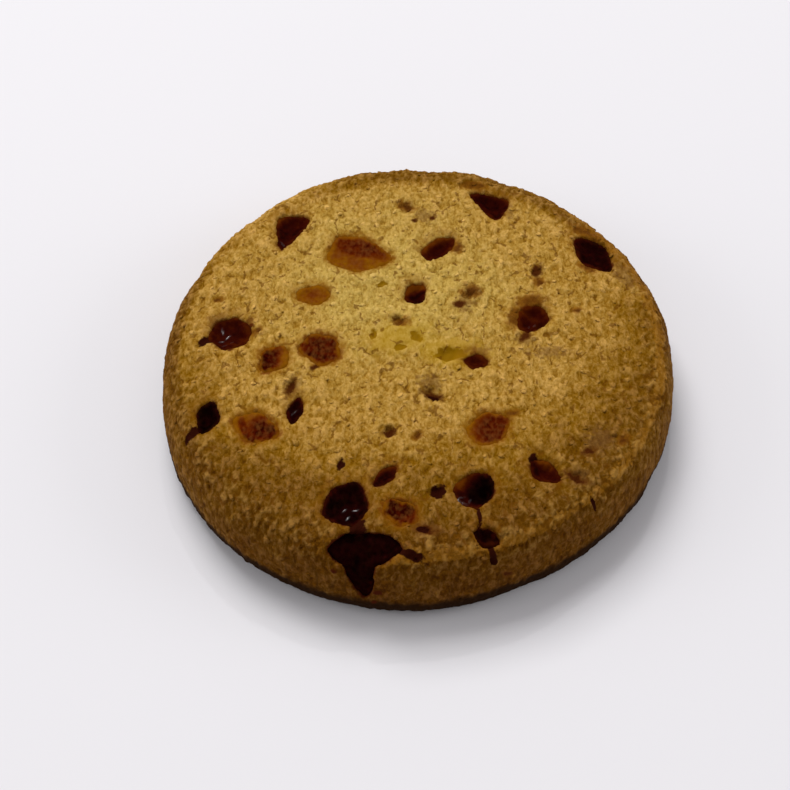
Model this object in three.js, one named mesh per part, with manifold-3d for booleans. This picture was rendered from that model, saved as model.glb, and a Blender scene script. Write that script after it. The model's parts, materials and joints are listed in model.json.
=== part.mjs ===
// A sable biscuit: a thick round slice of butter dough, baked golden, with lumps of toffee that have melted
// into pockets in its face. Millimetres, +Z up, origin at the middle of the flat base.
import * as THREE from "three";
import { ImprovedNoise } from "three/addons/math/ImprovedNoise.js";
import { mergeVertices } from "three/addons/utils/BufferGeometryUtils.js";
import Module from "manifold-3d";

const wasm = await Module();
wasm.setup();
const { degToRad, lerp, seededRandom } = THREE.MathUtils;

// Driving dimensions
const DIAMETER = 64; // across the widest part of the side
const THICKNESS = 11.2; // from the base to the middle of the face

// The section that follows from them
const RADIUS = DIAMETER / 2;
const BASE_RADIUS = 0.95 * RADIUS; // edge of the flat underside
const FACE_RADIUS = 0.87 * RADIUS; // where the face starts to turn down
const WIDEST_HEIGHT = 0.3 * THICKNESS; // where the side bulges furthest
const DOME = 0.3; // fall of the face from its middle to its edge
const FACE_EDGE_HEIGHT = THICKNESS - DOME;
const SHOULDER_POWER = 2.4; // 2 makes the shoulder an ellipse, more makes it squarer

// How far the slice is from round: swells of the radius, by how many go round, how high, and where one peaks
const SWELLS = [
  { count: 2, height: 0.38, peak: 50 },
  { count: 3, height: 0.25, peak: 232 },
  { count: 7, height: 0.1, peak: 15 },
];

// Lumps that baking raises in the crust, coarse and fine
const LUMPS = [
  { size: 7, height: 0.24 },
  { size: 3.2, height: 0.18 },
];

// Steps of the faceted surface
const ROUND_STEPS = 100;
const FACE_STEPS = 17;
const SHOULDER_STEPS = 8;
const LOWER_EDGE_STEPS = 4;

// Toffee comes in two families: dark lumps that boiled down below the crust, and amber ones level with it.
const FAMILIES = {
  dark: { sink: 1.1, depth: 2.4, color: 0x32120a, roughness: 0.25 },
  amber: { sink: 0.4, depth: 1.8, color: 0x7d3f0d, roughness: 0.45 },
};
const GAP = 0.3; // clear space between a lump and its pocket

// The lumps as they lie in the crust: the middle, the length and width, which way the length points, the
// corners, where the first one is if it isn't at the end of the length, how far the lump leans outward
// with the shoulder, its depth where that isn't its family's, and a second lobe where it spilled over
const TOFFEE = {
  dark: [
    { at: [-16.3, 18.6], size: [6.4, 4.0], turn: -104, corners: 3 },
    { at: [9.3, 23.9], size: [5.6, 3.8], turn: 145, corners: 3 },
    { at: [3.0, 16.0], size: [5.0, 2.6], turn: 36, corners: 5 },
    { at: [22.6, 15.2], size: [7.0, 4.4], turn: -55, corners: 4 },
    { at: [-0.1, 8.4], size: [2.4, 3.1], turn: 0, corners: 4, firstCorner: 45 },
    { at: [14.4, 4.5], size: [4.4, 3.8], turn: 60, corners: 5 },
    { at: [-23.0, 2.2], size: [5.2, 4.8], turn: 20, corners: 6 },
    { at: [-14.7, -9.6], size: [4.2, 1.9], turn: 80, corners: 4 },
    { at: [-25.1, -10.6], size: [4.8, 3.0], turn: 72, corners: 4 },
    { at: [7.2, -2.3], size: [3.0, 2.4], turn: -20, corners: 4 },
    { at: [14.9, -18.4], size: [4.4, 3.0], turn: -40, corners: 4 },
    { at: [-3.9, -19.2], size: [4.0, 1.8], turn: 45, corners: 4 },
    { at: [-8.2, -22.8], size: [6.2, 5.0], turn: 60, corners: 5 },
    { at: [6.7, -21.0], size: [5.2, 4.2], turn: 45, corners: 6 },
    { at: [7.9, -27.5], size: [3.4, 2.2], turn: -20, corners: 4, lean: 15 },
    {
      at: [-6.2, -29.0],
      size: [8.6, 3.6],
      turn: -3,
      corners: 6,
      lean: 28,
      depth: 1.3,
      spill: { at: [-6.7, -30.9], size: [5.6, 3.8], turn: -90, corners: 3, lean: 60 },
    },
  ],
  amber: [
    { at: [-7.1, 14.7], size: [7.8, 5.6], turn: -14, corners: 5 },
    { at: [-12.9, 8.1], size: [4.0, 2.8], turn: 0, corners: 5 },
    { at: [-17.6, -1.9], size: [4.6, 3.4], turn: 60, corners: 4 },
    { at: [-11.7, -0.4], size: [5.0, 4.2], turn: -30, corners: 5 },
    { at: [-19.2, -12.3], size: [5.8, 4.4], turn: -15, corners: 4 },
    { at: [8.6, -12.4], size: [5.3, 4.2], turn: 30, corners: 5 },
    { at: [-2.1, -24.2], size: [4.2, 3.2], turn: -30, corners: 5 },
  ],
};
const CORNER_UNEVEN = 0.25; // share by which a lump's corners differ from each other
const CORNER_ROUNDING = 0.24; // share of each side that a melted corner takes
const CORNER_STEPS = 2;
const LUMP_SEED = 11;
const CLEAR_OF_CRUST = 4; // how far the cutting prisms stand out of the crust

// Specks too small to be lumps of their own leave shallow dimples: the middle and the width of each
const SPECKS = [
  { at: [-0.9, 22.9], width: 2.6 },
  { at: [6.4, 8.1], width: 2.2 },
  { at: [15.3, 11.7], width: 2.4 },
  { at: [-2.5, 3.9], width: 2.0 },
  { at: [3.7, -1.3], width: 2.8 },
  { at: [-15.3, -6.0], width: 2.4 },
  { at: [1.9, -7.2], width: 2.6 },
  { at: [-3.6, -13.0], width: 2.0 },
  { at: [2.1, -21.5], width: 1.9 },
  { at: [18.8, -19.4], width: 2.6 },
  { at: [23.6, -14.2], width: 2.0 },
];
const SPECK_DEPTH = 0.55;

// Cracks in the crust: the two ends of each, with how wide and how deep it opens
const CRACKS = [
  { from: [6.4, -23.6, 10.9], to: [7.3, -28.2, 10.5], width: 0.7, depth: 1.0 },
  { from: [7.8, -28.2, 10.5], to: [9.0, -30.9, 6.5], width: 0.8, depth: 1.0 },
  { from: [-6.6, -31.2, 6.0], to: [-6.0, -31.6, 2.6], width: 0.8, depth: 1.0 },
  { from: [-2.8, -29.5, 10.2], to: [1.2, -30.3, 9.6], width: 0.9, depth: 1.0 },
  { from: [-7.2, -25.4, 11.0], to: [-6.8, -28.0, 10.6], width: 0.9, depth: 1.1 },
  { from: [-26.4, -12.4, 10.6], to: [-28.6, -14.0, 9.0], width: 0.6, depth: 0.8 },
];

const MERGE_DISTANCE = 1e-4;
const noise = new ImprovedNoise();

// A closed geometry as a solid that can be cut and joined. Triangles that collapse on the axis are dropped.
function solid(geometry) {
  geometry.deleteAttribute("normal");
  geometry.deleteAttribute("uv");
  const merged = mergeVertices(geometry, MERGE_DISTANCE);
  const corners = merged.index.array;
  const triVerts = [];
  for (let i = 0; i < corners.length; i += 3) {
    const [a, b, c] = corners.slice(i, i + 3);
    if (a !== b && b !== c && c !== a) triVerts.push(a, b, c);
  }
  const vertProperties = merged.getAttribute("position").array;
  return new wasm.Manifold(
    new wasm.Mesh({ numProp: 3, vertProperties, triVerts: new Uint32Array(triVerts) }),
  );
}

// A solid as a named mesh.
function namedMesh(name, shape, material) {
  const { vertProperties, triVerts } = shape.getMesh();
  const geometry = new THREE.BufferGeometry();
  geometry.setAttribute("position", new THREE.BufferAttribute(vertProperties, 3));
  geometry.setIndex(new THREE.BufferAttribute(triVerts, 1));
  geometry.computeVertexNormals();
  const mesh = new THREE.Mesh(geometry, material);
  mesh.name = name;
  return mesh;
}

// Height of the crust at a distance from the middle: the dome, then the shoulder.
function crustHeight(distance) {
  if (distance <= FACE_RADIUS) return THICKNESS - DOME * (distance / FACE_RADIUS) ** 2;
  const out = Math.min((distance - FACE_RADIUS) / (RADIUS - FACE_RADIUS), 1);
  const up = (1 - out ** SHOULDER_POWER) ** (1 / SHOULDER_POWER);
  return lerp(WIDEST_HEIGHT, FACE_EDGE_HEIGHT, up);
}

// Half the section, from the middle of the base out to the side and back to the middle of the face.
function sectionProfile() {
  const profile = [new THREE.Vector2(0, 0)];
  for (let i = 0; i < LOWER_EDGE_STEPS; i++) {
    const a = ((i / LOWER_EDGE_STEPS) * Math.PI) / 2;
    const out = lerp(BASE_RADIUS, RADIUS, Math.sin(a));
    profile.push(new THREE.Vector2(out, WIDEST_HEIGHT * (1 - Math.cos(a))));
  }
  for (let i = 0; i < SHOULDER_STEPS; i++) {
    const a = ((i / SHOULDER_STEPS) * Math.PI) / 2;
    const out = lerp(FACE_RADIUS, RADIUS, Math.cos(a) ** (2 / SHOULDER_POWER));
    profile.push(new THREE.Vector2(out, crustHeight(out)));
  }
  for (let i = FACE_STEPS; i >= 0; i--) {
    const out = (FACE_RADIUS * i) / FACE_STEPS;
    profile.push(new THREE.Vector2(out, crustHeight(out)));
  }
  return profile;
}

// How much further out the side is than on a true circle.
function swell(angle) {
  return SWELLS.reduce(
    (sum, { count, height, peak }) => sum + height * Math.cos(count * (angle - degToRad(peak))),
    0,
  );
}

// How far the crust is raised at a point.
function lumpiness(p) {
  return LUMPS.reduce(
    (sum, { size, height }) => sum + height * noise.noise(p.x / size, p.y / size, p.z / size),
    0,
  );
}

// The dough before anything is cut: a lathed section, pushed out of round and lumpy above its flat base.
function doughGeometry() {
  const lathe = new THREE.LatheGeometry(sectionProfile(), ROUND_STEPS);
  lathe.rotateX(Math.PI / 2);
  const position = lathe.getAttribute("position");
  const p = new THREE.Vector3();
  for (let i = 0; i < position.count; i++) {
    p.fromBufferAttribute(position, i);
    const out = Math.hypot(p.x, p.y);
    const raised = lumpiness(p);
    const wider = out > 0 ? 1 + (swell(Math.atan2(p.y, p.x)) * (out / RADIUS)) / RADIUS : 1;
    const swollen = p.z > 0 ? wider + raised / RADIUS : wider;
    const lift = raised * THREE.MathUtils.smoothstep(p.z, WIDEST_HEIGHT, FACE_EDGE_HEIGHT);
    position.setXYZ(i, p.x * swollen, p.y * swollen, p.z + lift);
  }
  return lathe;
}

// The space that lies deeper than a family's sink under the crust.
function doughCore(sink) {
  const narrower = (RADIUS - sink) / RADIUS;
  return solid(doughGeometry().scale(narrower, narrower, 1).translate(0, 0, -sink));
}

// A broken lump's outline: uneven corners that melting has rounded, stretched to the lump's length and width.
function lumpOutline({ size, corners: count, firstCorner = 0 }) {
  const corners = Array.from({ length: count }, (_, i) => {
    const turns = (i + CORNER_UNEVEN * (seededRandom() - 0.5)) / count;
    const angle = degToRad(firstCorner + 360 * turns);
    const reach = 1 + CORNER_UNEVEN * (seededRandom() - 0.5);
    return new THREE.Vector2(Math.cos(angle), Math.sin(angle)).multiplyScalar(reach);
  });
  const path = new THREE.Shape();
  corners.forEach((corner, i) => {
    const start = corner.clone().lerp(corners.at(i - 1), CORNER_ROUNDING);
    const end = corner.clone().lerp(corners[(i + 1) % count], CORNER_ROUNDING);
    if (i === 0) path.moveTo(start.x, start.y);
    else path.lineTo(start.x, start.y);
    path.quadraticCurveTo(corner.x, corner.y, end.x, end.y);
  });
  const outline = path.getPoints(CORNER_STEPS);
  const box = new THREE.Box2().setFromPoints(outline);
  const middle = box.getCenter(new THREE.Vector2());
  const stretch = new THREE.Vector2(...size).divide(box.getSize(new THREE.Vector2()));
  return outline.map((point) => point.sub(middle).multiply(stretch));
}

// The same outline moved outward all round.
function grown(outline, by) {
  return outline.map((point, i) => {
    const along = outline[(i + 1) % outline.length].clone().sub(outline.at(i - 1)).normalize();
    return new THREE.Vector2(point.x + along.y * by, point.y - along.x * by);
  });
}

// A prism on a lump's outline, square to the crust, from a depth under it to well clear of it.
function lumpPrism({ at: [x, y], turn, lean = 0 }, outline, depth) {
  const height = depth + CLEAR_OF_CRUST;
  const prism = new THREE.ExtrudeGeometry(new THREE.Shape(outline), { depth: height, bevelEnabled: false });
  prism.translate(0, 0, -depth).rotateZ(degToRad(turn));
  const tangent = new THREE.Vector3(-y, x, 0).normalize();
  prism.applyMatrix4(new THREE.Matrix4().makeRotationAxis(tangent, degToRad(lean)));
  return solid(prism.translate(x, y, crustHeight(Math.hypot(x, y))));
}

// A shallow bowl in the face.
function speckDimple({ at: [x, y], width }) {
  const bowl = new THREE.SphereGeometry(1, 7, 5).rotateX(Math.PI / 2);
  bowl.scale(width / 2, width / 2, SPECK_DEPTH);
  return solid(bowl.translate(x, y, crustHeight(Math.hypot(x, y))));
}

// A groove that is widest halfway along and runs out to a point at both ends.
function crackGroove({ from, to, width, depth }) {
  const start = new THREE.Vector3(...from);
  const end = new THREE.Vector3(...to);
  const along = end.clone().sub(start);
  const middle = start.clone().lerp(end, 0.5);
  const towardsMiddle = new THREE.Vector3(0, 0, WIDEST_HEIGHT).sub(middle).normalize();
  const across = along.clone().cross(towardsMiddle).normalize();
  const inward = across.clone().cross(along).normalize();
  const frame = new THREE.Matrix4().makeBasis(
    across.multiplyScalar(width / 2),
    along.multiplyScalar(0.5),
    inward.multiplyScalar(depth),
  );
  const groove = new THREE.OctahedronGeometry(1).applyMatrix4(frame);
  return solid(groove.translate(middle.x, middle.y, middle.z));
}

// Moves the whole biscuit so that its outline is centred over the origin.
function centre(group) {
  const middle = new THREE.Box3().setFromObject(group).getCenter(new THREE.Vector3());
  group.children.forEach((mesh) => mesh.geometry.translate(-middle.x, -middle.y, 0));
}

function sableBiscuit() {
  const biscuit = new THREE.Group();
  let dough = solid(doughGeometry());
  seededRandom(LUMP_SEED);
  for (const [look, lumps] of Object.entries(TOFFEE)) {
    const { sink, depth: usualDepth, color, roughness } = FAMILIES[look];
    const core = doughCore(sink);
    const material = new THREE.MeshStandardMaterial({ color, roughness, metalness: 0 });
    lumps.forEach((lump, i) => {
      const bottom = sink + (lump.depth ?? usualDepth);
      const lobes = lump.spill ? [lump, lump.spill] : [lump];
      const outlines = lobes.map(lumpOutline);
      const prisms = lobes.map((lobe, n) => lumpPrism(lobe, outlines[n], bottom));
      const pockets = lobes.map((lobe, n) => lumpPrism(lobe, grown(outlines[n], GAP), bottom + GAP));
      dough = pockets.reduce((rest, pocket) => rest.subtract(pocket), dough);
      const shape = prisms.reduce((whole, prism) => whole.add(prism)).intersect(core);
      biscuit.add(namedMesh(`toffee_${look}_${String(i + 1).padStart(2, "0")}`, shape, material));
    });
  }
  for (const speck of SPECKS) dough = dough.subtract(speckDimple(speck));
  for (const crack of CRACKS) dough = dough.subtract(crackGroove(crack));
  const crust = new THREE.MeshStandardMaterial({ color: 0xb58b47, roughness: 0.85, metalness: 0 });
  biscuit.add(namedMesh("dough", dough, crust));
  centre(biscuit);
  return biscuit;
}

export default sableBiscuit();
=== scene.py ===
"""The looks of a sable biscuit with toffee: sandy baked dough, melted toffee and loose grains.

Lengths are in millimetres, and only those of the floor and the lamps in metres. The frame is the part's
own: +Z up, origin in the middle of the flat base, -Y the side nearest the viewer. A span is a pair of
values, where something starts and where it is full.
"""

import json
import math

import bmesh
import bpy
import numpy as np
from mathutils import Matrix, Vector
from mathutils.bvhtree import BVHTree
from mathutils.kdtree import KDTree


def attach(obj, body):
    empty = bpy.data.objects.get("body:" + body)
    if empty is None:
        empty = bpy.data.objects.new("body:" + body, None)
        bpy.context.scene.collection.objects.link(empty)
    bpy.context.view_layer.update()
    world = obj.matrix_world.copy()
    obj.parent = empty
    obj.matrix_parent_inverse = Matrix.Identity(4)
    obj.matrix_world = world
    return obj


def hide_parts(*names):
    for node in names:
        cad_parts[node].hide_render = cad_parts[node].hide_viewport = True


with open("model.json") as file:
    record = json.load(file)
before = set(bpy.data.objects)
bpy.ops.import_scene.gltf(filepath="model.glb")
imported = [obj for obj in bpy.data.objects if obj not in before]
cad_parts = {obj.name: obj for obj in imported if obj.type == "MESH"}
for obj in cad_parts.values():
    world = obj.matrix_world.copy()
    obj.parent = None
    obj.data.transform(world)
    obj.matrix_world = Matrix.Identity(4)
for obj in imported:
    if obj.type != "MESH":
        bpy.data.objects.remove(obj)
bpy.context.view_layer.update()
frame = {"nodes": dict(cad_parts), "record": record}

MM = 0.001
NOISE_MIDDLE = 0.5  # noise swings about this

# Dough
WELD = 0.001  # corners of a solid that lie closer than this are one
DOUGH_GRID = 0.29  # spacing of the fine mesh that carries the crumb
DOUGH_SOFTENING = 2  # rounds of smoothing that take the sharpness off the cut pockets
BASE_CLEAR = 29.0  # inside this radius the flat base needs no fine mesh
BASE_FACING = -0.99  # faces of the base point down at least this much
FACE_FROM = 8.0  # above this height a point belongs to the face
SIDE_TOP = (10.0, 7.2)  # heights between which the face turns into the side
RELIEF = {
    "Lump Size": 2.4,
    "Lump Height": 0.14,
    "Clump Height": 0.9,
    "Streak Size": 0.8,
    "Streak Depth": 0.1,
    "Split Depth": 0.14,
    "Flat Base": 0.15,
    "Base Clearance": 1.2,
}
WAVE_SPAN = (0.25, 0.75)  # lumps and streaks are lowest and highest where their noise has these values
STREAK_STRETCH = (1.0, 1.0, 0.2)  # streaks run down the side
WRINKLE_SIZE = 0.55  # of the dark lines that run down the side
WRINKLE_STRETCH = (1.0, 1.0, 0.22)
CLUMP_SIZE = 0.65
CLUMP_STRETCH = (1.0, 0.62, 0.62)  # clumps of crumb are longer from the viewer's side to the far side
CLUMP_BUMP = 0.45  # how far clumps too fine for the mesh stand out
CRUMB_SIZE = 2.2  # from one split between crumbs to the next
CRUMB_STRETCH = (1.0, 0.7, 1.0)  # makes the crumbs longer from the viewer's side to the far side
SPLIT_STIR = 0.7  # how far the splits wander
SPLIT_PATCH = 1.2  # how long a split runs before it closes
SPLIT_OPENING = (0.52, 0.62)  # span of its noise in which a split opens
SPLIT_WIDTHS = (0.32, 0.5)  # of its dark line of painted shade, and of the dip in the crust
SPLIT_GAPE = (0.5, 2.4)  # how many times that width a split has along a crumb, and where crumbs meet
SPLIT_MEETING = (0.4, 0.85)  # how far those places are from a crumb's middle, in crumbs
FUNNELS = {"soak_reach": (0.2, 0.7), "amber_reach": (0.15, 0.5)}  # how deep and far the crust dips to lumps
POCKET_CLOSING = (0.35, 0.6)  # how far the crust closes over the edges of lumps, and how far out it moves
CLOSING_SPAN = (FACE_FROM - 1.0, FACE_FROM)  # of heights
RIM_CALM = (0.5, 0.8)  # how much smoother, and how far out, the crust is around lumps
BUTTER_CALM = 0.75  # how much smoother butter left the crust
BUTTER_SPAN = (0.4, 0.7)  # of nearness to the middle of a butter mark
SIDE_CALM = 0.6  # how much smoother the side is
SHOULDER_LUMP = "melted_toffee_dark_16"  # it sits in the shoulder, and soaked none of the crust
SOAK_SHIFT = (0.2, -0.5, 0.0)  # dark lumps soaked and slumped the crust more on their far side
HOLLOW_ROUNDS = 18  # rounds of averaging that give the level of the crust around a point
HOLLOW_SPAN = (0.5, 1.4)  # of distances from lumps in which the painted shade of hollows and highlight of crests come to show
PALE_SPOT = (-3.0, 10.0)  # the palest spot of the face, off towards the far side, as painted shade darkens the viewer's side
PALE_SPREAD = (0.92, 5.0, 43.0)  # pace of the browning along x against y, and from where to where it browns
RIM_BROWN = (0.82, 26.5, 30.5)  # how brown the rim is at least, and from where to where it gets so
FAR_SIDE = (5.0, 25.0)  # span of y
FAR_LEFT = (-5.0, -20.0)  # span of x
FAR_RIM = (2.0, 0.12, 0.35)  # how much wider and less brown the rim is at the far side, and less at its left: a painted highlight
CREST = (28.4, 29.6, 9.3, 10.0)  # radii and heights between which the painted golden highlight on the shoulder's crest starts
CREST_NEAR = (-5.0, -24.0)  # span of y in which it starts on the viewer's side
CREST_NEAR_LEFT = (-16.0, -4.0)  # span of x in which it starts there
CREST_RIGHT = (12.0, 26.0)  # span of x in which it starts on the right
FOOT = (5.0, 2.2, 28.5, 30.0)  # heights between which the foot of the side darkens, browned and in painted shade, and radii
FOOT_FADE = (0.5, -10.0, 10.0)  # how much paler the foot is at the far side, and its span of y

# How the crust is patched, and the light and shade painted into its colour
BROWNING_CLOUDS = ((6.0, 0.3), (1.6, 0.2))  # size and strength of the patches that the oven left
CLUMP_SHADE = (0.32, 0.5, 0.6)  # span of a clump's height that gets painted shade, and how bright its lowest part is painted
CLUMP_LIGHT = (0.5, 0.7)  # span of a clump's height in which its top gets a painted highlight
CLUMP_GAIN = (0.2, 0.9)  # how bright that painted highlight is, on the palest and on the brownest crust
SAND = (0.3, 0.9)  # size and strength of the finest crumb
SHADE_HUE = (0.35, 1.0, 0.484, 0.5)  # span of painted brightness in which brown turns to straw, and their hues
SHADE_STRENGTH = (0.35, 1.3, 1.12, 0.95)  # the same for how strong the colour is

# Grains of coarse flour and sugar that stand out of the crust
GRAINS = {"Spacing": 1.8, "Grain Size": 0.55, "Sink": 0.04, "Grain Roughness": 0.16}
GRAIN_DENSITY = 6.0  # most grains to a square millimetre
GRAIN_PALENESS = (0.05, 0.4)  # how much brighter than the crust, least and most
GRAIN_TIP = 0.4  # how far a grain tips at most, in radians
GRAIN_FORMS = ((0.7, 0.8, 0.35), (1.5, 1.8, 0.6))  # least and most length, width and height, in sizes
GRAIN_CRAGS = 0.35  # size of the dents in a grain
GRAIN_SEED = 7
GRAINS_FROM = 2.0  # above the base
GRAINS_CLEAR = {"dark_reach": 0.5, "amber_reach": 0.4}  # grains lie at least this far from lumps
GRAINS_BARE = {"dip": 0.45, "speck": 0.45, "pit": 0.45}  # no grains where a mark is nearer than this
SIDE_BARE = 0.9  # share of the grains that the side lacks

# Toffee
TOFFEE_GRID = 0.16
TOFFEE_SOFTENING = 6
TOFFEE_BOND = 0.6  # how far a lump melts into the walls of its pocket
SHOULDER_BOND = 0.9  # the same for the lump in the shoulder
WALL_REACH = max(TOFFEE_BOND, SHOULDER_BOND)  # no lump covers more of its pocket's walls
HIDDEN_EDGE = 0.35  # how much of its edge the walls hide
MELT = {
    "toffee_dark": {
        "Bowl Reach": 1.8,
        "Climb": 0.2,
        "Sag": 0.6,
        "Ripple Size": 2.0,
        "Ripple Height": 0.15,
        "Ridge Height": 0.1,
    },
    "toffee_amber": {
        "Bowl Reach": 1.2,
        "Climb": -0.3,
        "Sag": 0.5,
        "Ripple Size": 0.8,
        "Ripple Height": 0.35,
        "Ridge Height": 0.1,
    },
}
WALL_SLOPE = 0.4  # a lump's walls face up or down by less than this
TOP_SPAN = (-0.3, 0.3)  # of how far up a lump's points face, in which its top comes to move
LEAST_DEPTHS = {"toffee_dark": 0.0, "toffee_amber": 0.25}  # of the syrup in lumps outside the pools
POOL_SPAN = (0.0, 0.6)  # of nearness to the middle of a pool
SYRUP_CLOUDS = ((2.0, 0.7), (0.6, 0.5))  # size and strength of the drifts in the syrup's depth
THIN_EDGE = (0.3, 1.0, 0.7)  # from where to where, inside its walls, a lump is thinner, and its depth there
THIN_CLOUDS = (1.2, 1.6)  # size and strength of the unevenness of that edge
WALL_DEPTH = 0.3  # how dark the soaked walls of the pockets are, against the syrup next to them
STUCK_SHARES = {"toffee_dark": 0.015, "toffee_amber": 0.4}  # how much crumb stuck in the syrup at most
STUCK_SIZE = 0.45  # of that crumb
STUCK_HEIGHT = 0.3  # how far it would stand out if it covered the syrup
STUCK_CLOUDS = (2.0, 0.4)  # size and strength of its patches
STUCK_SPAN = (0.4, 0.75)  # of its noise
FRAYED_CLOUDS = (0.8, 1.8)  # size and strength of the fraying of a lump's edge
FRAYED_SPAN = (0.9, 0.4)  # of distances from a lump's walls
FRAYED_GAIN = 1.4  # how much more crumb there is at that edge
GLOSS = {"Specular IOR Level": (0.0, 0.5), "Roughness": (0.7, 0.13)}  # of dulled syrup, and of bare ridges
RIDGE_SPAN = (0.45, 0.85)  # of nearness to the middle of a bare ridge
BURST_BUBBLES = {  # middle and width of the holes that boiling left in some lumps
    "toffee_dark_14": ((7.6, -20.9), 2.4),
    "toffee_dark_06": ((15.2, 3.6), 2.2),
}
BUBBLE_DEPTH = 0.5  # of its width

# Where the syrup in the lumps is deepest and darkest: middle, length, width, which way the length points,
# and depth
POOLS = [
    (-16.8, 18.6, 6.6, 2.8, 62, 0.58),
    (-15.4, 20.4, 3.0, 2.0, 0, 0.6),
    (9.2, 23.7, 6.0, 2.8, -38, 0.63),
    (10.0, 24.5, 2.6, 2.0, 0, 0.45),
    (2.4, 15.5, 4.2, 1.5, 38, 0.5),
    (22.9, 14.8, 7.0, 3.6, -60, 0.78),
    (0.2, 7.6, 2.4, 2.0, 0, 0.72),
    (14.6, 4.2, 4.0, 3.4, 60, 0.5),
    (-23.2, 2.2, 5.6, 5.0, 20, 0.5),
    (-15.0, -9.8, 4.4, 2.2, 80, 0.8),
    (-25.3, -10.8, 6.0, 4.0, 70, 1.0),
    (7.3, -2.3, 3.6, 2.6, -20, 0.4),
    (14.4, -19.0, 3.6, 2.4, -20, 0.52),
    (13.2, -17.8, 2.6, 1.2, -70, 0.66),
    (-4.2, -19.5, 2.8, 1.2, 45, 0.66),
    (-8.3, -23.2, 7.6, 6.0, 65, 0.88),
    # darkest over the hole of the burst bubble: painted shade in the hole
    (7.4, -20.9, 3.8, 3.0, 50, 1.0),
    (5.4, -22.0, 2.6, 2.0, 0, 0.6),
    (7.6, -27.5, 3.6, 2.2, -15, 0.86),
    (-6.4, -29.8, 15.0, 11.0, 0, 0.88),
    (-7.3, 15.9, 6.4, 2.2, -17, 0.75),
    (-13.3, 8.3, 1.2, 0.9, 0, 0.4),
    (-18.5, -2.4, 5.0, 2.0, 75, 0.95),
    (-11.9, 0.4, 6.4, 4.8, -30, 0.85),
    (-17.6, -12.6, 4.4, 3.2, -10, 0.9),
    (-20.5, -14.4, 3.2, 2.4, 0, 0.85),
    (-20.9, -12.4, 3.2, 0.8, -75, 0.68),
    (8.9, -12.2, 4.4, 3.2, 50, 0.78),
    (-2.9, -23.4, 5.0, 3.4, 20, 0.98),
]

# Ridges of bare syrup that glint: middle, length, width and which way the length points
RIDGES = [
    (-17.3, 16.9, 0.9, 0.28, -60),
    (-24.3, 3.1, 1.3, 0.3, -75),
    (-23.6, 2.2, 1.1, 0.3, 50),
    (-24.4, 1.5, 0.9, 0.28, 15),
    (-23.0, 1.2, 0.8, 0.26, 70),
    (-23.9, 0.6, 0.8, 0.26, -20),
    (-15.0, -9.7, 1.2, 0.45, 55),
    (-7.5, -23.4, 1.0, 0.26, 8),
    (-8.4, -24.5, 0.8, 0.28, 60),
    (-8.8, -23.4, 0.7, 0.26, 40),
    (4.9, -21.9, 1.0, 0.3, 40),
    (5.7, -22.3, 1.0, 0.28, 75),
    (5.2, -22.8, 0.9, 0.28, -20),
    (4.6, -22.5, 0.8, 0.28, -70),
    (13.7, 3.6, 0.8, 0.26, 80),
    (14.4, 3.9, 0.6, 0.26, 60),
]

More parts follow.
